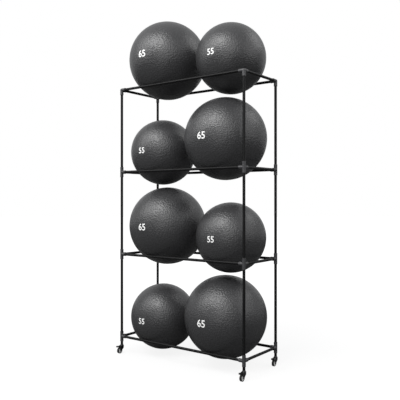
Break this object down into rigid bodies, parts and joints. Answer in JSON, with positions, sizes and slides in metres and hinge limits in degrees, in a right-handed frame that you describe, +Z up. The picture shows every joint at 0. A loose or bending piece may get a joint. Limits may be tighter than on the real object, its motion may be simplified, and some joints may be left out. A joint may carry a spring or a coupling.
{
  "type": "exercise ball rack",
  "caption": "Open rolling rack of round tube and slip-on connectors whose tiers cradle exercise balls between front and back rails, on swivel casters with brake pedals.",
  "frame": {"origin": "on the floor, under the middle of the frame of uprights", "axes": "+X to the right along the front rails, +Y to the back, +Z up; the brake pedals point to -Y, the front, to within 2 degrees as in the picture"},
  "size_m": [1.263, 0.6498, 2.8069],
  "materials": {
    "frame_tube": "black powder coat, fine satin",
    "connector": "moulded black plastic, satin, a little greyer than the tubes",
    "caster_stem": "black, satin",
    "caster_fork": "pressed steel, black, satin",
    "caster_wheel": "black moulded tyre on a grey hub",
    "brake_pedal": "black moulded plastic",
    "ball": "charcoal vinyl with a fine pebbled skin, soft sheen"
  },
  "bodies": {
    "frame": {"upright_front_left": "frame_tube", "upright_front_right": "frame_tube", "upright_back_right": "frame_tube", "upright_back_left": "frame_tube", "rail_front_1": "frame_tube", "rail_back_1": "frame_tube", "rail_left_1": "frame_tube", "rail_right_1": "frame_tube", "rail_front_2": "frame_tube", "rail_back_2": "frame_tube", "rail_left_2": "frame_tube", "rail_right_2": "frame_tube", "rail_front_3": "frame_tube", "rail_back_3": "frame_tube", "rail_left_3": "frame_tube", "rail_right_3": "frame_tube", "rail_front_4": "frame_tube", "rail_back_4": "frame_tube", "rail_left_4": "frame_tube", "rail_right_4": "frame_tube", "connector_front_left_1": "connector", "connector_front_left_2": "connector", "connector_front_left_3": "connector", "connector_front_left_4": "connector", "connector_front_right_1": "connector", "connector_front_right_2": "connector", "connector_front_right_3": "connector", "connector_front_right_4": "connector", "connector_back_right_1": "connector", "connector_back_right_2": "connector", "connector_back_right_3": "connector", "connector_back_right_4": "connector", "connector_back_left_1": "connector", "connector_back_left_2": "connector", "connector_back_left_3": "connector", "connector_back_left_4": "connector", "caster_stem_front_left": "caster_stem", "caster_stem_front_right": "caster_stem", "caster_stem_back_right": "caster_stem", "caster_stem_back_left": "caster_stem"},
    "swivel_front_left": {"caster_fork_front_left": "caster_fork"},
    "wheel_front_left": {"caster_wheel_front_left": "caster_wheel"},
    "pedal_front_left": {"caster_pedal_front_left": "brake_pedal"},
    "swivel_front_right": {"caster_fork_front_right": "caster_fork"},
    "wheel_front_right": {"caster_wheel_front_right": "caster_wheel"},
    "pedal_front_right": {"caster_pedal_front_right": "brake_pedal"},
    "swivel_back_right": {"caster_fork_back_right": "caster_fork"},
    "wheel_back_right": {"caster_wheel_back_right": "caster_wheel"},
    "pedal_back_right": {"caster_pedal_back_right": "brake_pedal"},
    "swivel_back_left": {"caster_fork_back_left": "caster_fork"},
    "wheel_back_left": {"caster_wheel_back_left": "caster_wheel"},
    "pedal_back_left": {"caster_pedal_back_left": "brake_pedal"},
    "ball_left_1": {"ball_left_1": "ball"},
    "ball_left_2": {"ball_left_2": "ball"},
    "ball_left_3": {"ball_left_3": "ball"},
    "ball_left_4": {"ball_left_4": "ball"},
    "ball_right_1": {"ball_right_1": "ball"},
    "ball_right_2": {"ball_right_2": "ball"},
    "ball_right_3": {"ball_right_3": "ball"},
    "ball_right_4": {"ball_right_4": "ball"}
  },
  "joints": [
    {"name": "swivel_front_left", "type": "hinge", "parent": "frame", "child": "swivel_front_left", "pos_m": [-0.615, -0.231, 0.069], "axis": [0, 0, 1], "continuous": true},
    {"name": "wheel_spin_front_left", "type": "hinge", "parent": "swivel_front_left", "child": "wheel_front_left", "pos_m": [-0.61455, -0.257, 0.025], "axis": [0.9998, 0.0175, 0], "continuous": true},
    {"name": "brake_front_left", "type": "hinge", "parent": "swivel_front_left", "child": "pedal_front_left", "pos_m": [-0.61455, -0.257, 0.058], "axis": [0.9998, 0.0175, 0], "range_deg": [0, 15]},
    {"name": "swivel_front_right", "type": "hinge", "parent": "frame", "child": "swivel_front_right", "pos_m": [0.615, -0.231, 0.069], "axis": [0, 0, 1], "continuous": true},
    {"name": "wheel_spin_front_right", "type": "hinge", "parent": "swivel_front_right", "child": "wheel_front_right", "pos_m": [0.61545, -0.257, 0.025], "axis": [0.9998, 0.0175, 0], "continuous": true},
    {"name": "brake_front_right", "type": "hinge", "parent": "swivel_front_right", "child": "pedal_front_right", "pos_m": [0.61545, -0.257, 0.058], "axis": [0.9998, 0.0175, 0], "range_deg": [0, 15]},
    {"name": "swivel_back_right", "type": "hinge", "parent": "frame", "child": "swivel_back_right", "pos_m": [0.615, 0.231, 0.069], "axis": [0, 0, 1], "continuous": true},
    {"name": "wheel_spin_back_right", "type": "hinge", "parent": "swivel_back_right", "child": "wheel_back_right", "pos_m": [0.61591, 0.20502, 0.025], "axis": [0.9994, 0.0349, 0], "continuous": true},
    {"name": "brake_back_right", "type": "hinge", "parent": "swivel_back_right", "child": "pedal_back_right", "pos_m": [0.61591, 0.20502, 0.058], "axis": [0.9994, 0.0349, 0], "range_deg": [0, 15]},
    {"name": "swivel_back_left", "type": "hinge", "parent": "frame", "child": "swivel_back_left", "pos_m": [-0.615, 0.231, 0.069], "axis": [0, 0, 1], "continuous": true},
    {"name": "wheel_spin_back_left", "type": "hinge", "parent": "swivel_back_left", "child": "wheel_back_left", "pos_m": [-0.615, 0.205, 0.025], "axis": [1, 0, 0], "continuous": true},
    {"name": "brake_back_left", "type": "hinge", "parent": "swivel_back_left", "child": "pedal_back_left", "pos_m": [-0.615, 0.205, 0.058], "axis": [1, 0, 0], "range_deg": [0, 15]},
    {"name": "roll_out_left_1", "type": "hinge", "parent": "frame", "child": "ball_left_1", "pos_m": [-0.32322, -0.231, 0.141], "axis": [0.9945, 0.1045, 0], "range_deg": [0, 105]},
    {"name": "spin_left_2", "type": "hinge", "parent": "frame", "child": "ball_left_2", "pos_m": [-0.2975, 0, 1.08393], "axis": [1, 0, 0], "continuous": true},
    {"name": "roll_out_left_3", "type": "hinge", "parent": "frame", "child": "ball_left_3", "pos_m": [-0.32322, -0.231, 1.539], "axis": [0.9945, 0.1045, 0], "range_deg": [0, 105]},
    {"name": "lift_left_4", "type": "slide", "parent": "frame", "child": "ball_left_4", "axis": [0, 0, 1], "range_m": [0, 0.35]},
    {"name": "spin_right_1", "type": "hinge", "parent": "frame", "child": "ball_right_1", "pos_m": [0.2975, 0, 0.38493], "axis": [1, 0, 0], "continuous": true},
    {"name": "roll_out_right_2", "type": "hinge", "parent": "frame", "child": "ball_right_2", "pos_m": [0.32322, -0.231, 0.84], "axis": [0.9945, -0.1045, 0], "range_deg": [0, 105]},
    {"name": "spin_right_3", "type": "hinge", "parent": "frame", "child": "ball_right_3", "pos_m": [0.2975, 0, 1.78293], "axis": [1, 0, 0], "continuous": true},
    {"name": "lift_right_4", "type": "slide", "parent": "frame", "child": "ball_right_4", "axis": [0, 0, 1], "range_m": [0, 0.35]}
  ]
}
